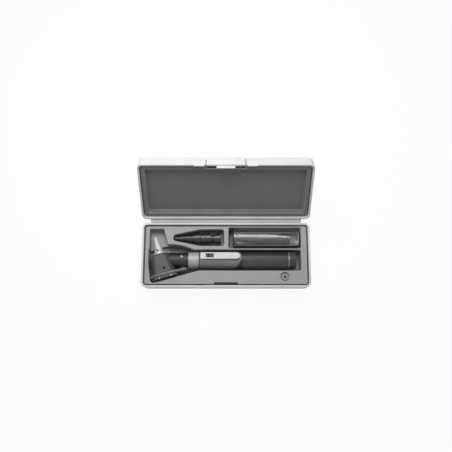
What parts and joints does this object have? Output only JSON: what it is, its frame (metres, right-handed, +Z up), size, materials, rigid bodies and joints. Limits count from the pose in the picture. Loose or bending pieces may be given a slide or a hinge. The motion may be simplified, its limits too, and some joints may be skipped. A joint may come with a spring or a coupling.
{
  "type": "otoscope carry case",
  "caption": "Hinged moulded carry case standing open, its tray holding a battery otoscope, nested reusable tips, a clear tube of disposable tips and a spare bulb.",
  "frame": {"origin": "centre of the base's flat bottom face", "axes": "+X to the right along the case, +Y towards the hinge, +Z up"},
  "size_m": [0.2, 0.1416, 0.0882],
  "materials": {
    "case_plastic": "fine satin moulded plastic",
    "tray_plastic": "matt moulded sheet",
    "liner_plastic": "matt moulded sheet",
    "satin_steel": "turned satin",
    "bright_metal": "polished",
    "sleeve_metal": "dark satin",
    "black_plastic": "fine satin",
    "head_plastic": "fine satin",
    "gloss_black": "gloss",
    "frame_plastic": "satin",
    "slider_plastic": "satin",
    "rubber": "matt",
    "brass": "plain",
    "tube_metal": "plain",
    "cell_jacket": "printed film, left bare",
    "spring_steel": "drawn wire",
    "lens_glass": "clear",
    "bulb_glass": "clear",
    "fibre_glass": "clear",
    "tube_clear": "clear plastic",
    "plug_plastic": "soft satin"
  },
  "bodies": {
    "base": {"base_shell": "case_plastic", "base_tray": "tray_plastic", "tray_head_pocket": "tray_plastic", "tray_tips_pocket": "tray_plastic", "tray_tube_pocket": "tray_plastic", "tray_tube_floor": "tray_plastic", "tray_bulb_well": "tray_plastic", "tray_deck_end": "tray_plastic", "tray_handle_pocket": "tray_plastic"},
    "strap": {"hinge_strap": "case_plastic"},
    "lid": {"lid_shell": "case_plastic", "lid_liner": "liner_plastic"},
    "latch": {"latch_tongue": "case_plastic"},
    "otoscope": {"handle_collar": "satin_steel", "contact_insulator": "black_plastic", "contact_pin": "brass", "handle_tube": "tube_metal", "handle_sleeve": "sleeve_metal", "handle_grip": "black_plastic", "barrel_ring": "bright_metal", "cap_gasket": "rubber", "battery_front": "cell_jacket", "battery_rear": "cell_jacket", "pocket_clip": "satin_steel", "switch_frame": "black_plastic", "head_shell": "head_plastic", "head_screw": "gloss_black", "head_neck": "black_plastic", "head_coupling": "tube_metal", "insufflation_port": "bright_metal", "nose_ring": "bright_metal", "nose_cone": "satin_steel", "light_guide": "fibre_glass", "pivot_screw": "satin_steel", "lamp_can": "tube_metal", "lamp_contact": "gloss_black", "lamp_glass": "bulb_glass"},
    "switch": {"switch_slider": "slider_plastic"},
    "cap_carrier": {"spring_seat": "brass", "cap_spring": "spring_steel"},
    "cap": {"end_cap": "black_plastic"},
    "window": {"window_frame": "frame_plastic", "window_lens": "lens_glass"},
    "tips": {"reusable_tip_1": "gloss_black", "reusable_tip_2": "gloss_black", "reusable_tip_3": "gloss_black", "reusable_tip_4": "gloss_black"},
    "tube": {"tube_body": "tube_clear", "disposable_tips": "black_plastic"},
    "plug": {"tube_plug": "plug_plastic"},
    "spare_bulb": {"spare_bulb_can": "tube_metal", "spare_bulb_contact": "gloss_black", "spare_bulb_glass": "bulb_glass"}
  },
  "joints": [
    {"name": "lid_fold", "type": "hinge", "parent": "base", "child": "strap", "pos_m": [0, 0.0395, 0.02375], "axis": [-1, 0, 0], "range_deg": [-64.5, 0]},
    {"name": "lid_fold_upper", "type": "hinge", "parent": "strap", "child": "lid", "pos_m": [0, 0.04356, 0.02569], "axis": [-1, 0, 0], "range_deg": [-64.5, 0]},
    {"name": "latch_press", "type": "hinge", "parent": "lid", "child": "latch", "pos_m": [0, 0.0997, 0.07873], "axis": [1, 0, 0], "range_deg": [0, 6], "stiffness_Nm_per_rad": 0.6},
    {"name": "otoscope_lift", "type": "slide", "parent": "base", "child": "otoscope", "axis": [0, 0, 1], "range_m": [0, 0.06]},
    {"name": "switch_slide", "type": "slide", "parent": "otoscope", "child": "switch", "axis": [-1, 0, 0], "range_m": [0, 0.004]},
    {"name": "cap_advance", "type": "slide", "parent": "otoscope", "child": "cap_carrier", "axis": [1, 0, 0], "range_m": [0, 0.0045]},
    {"name": "cap_turn", "type": "hinge", "parent": "cap_carrier", "child": "cap", "pos_m": [0, -0.0057, 0.018], "axis": [1, 0, 0], "range_deg": [0, 1620]},
    {"name": "window_swing", "type": "hinge", "parent": "otoscope", "child": "window", "pos_m": [-0.05101, -0.01515, 0.018], "axis": [-0.2672, 0.9636, 0], "range_deg": [0, 80]},
    {"name": "tips_lift", "type": "slide", "parent": "base", "child": "tips", "axis": [0, 0, 1], "range_m": [0, 0.06]},
    {"name": "tube_lift", "type": "slide", "parent": "base", "child": "tube", "axis": [0, 0, 1], "range_m": [0, 0.06]},
    {"name": "plug_pull", "type": "slide", "parent": "tube", "child": "plug", "axis": [-1, 0, 0], "range_m": [0, 0.0034]},
    {"name": "bulb_lift", "type": "slide", "parent": "base", "child": "spare_bulb", "axis": [0, 0, 1], "range_m": [0, 0.06]}
  ],
  "couplings": [
    {"joint": "cap_turn", "follows": "cap_advance", "rad_per_m": 6283.2}
  ]
}
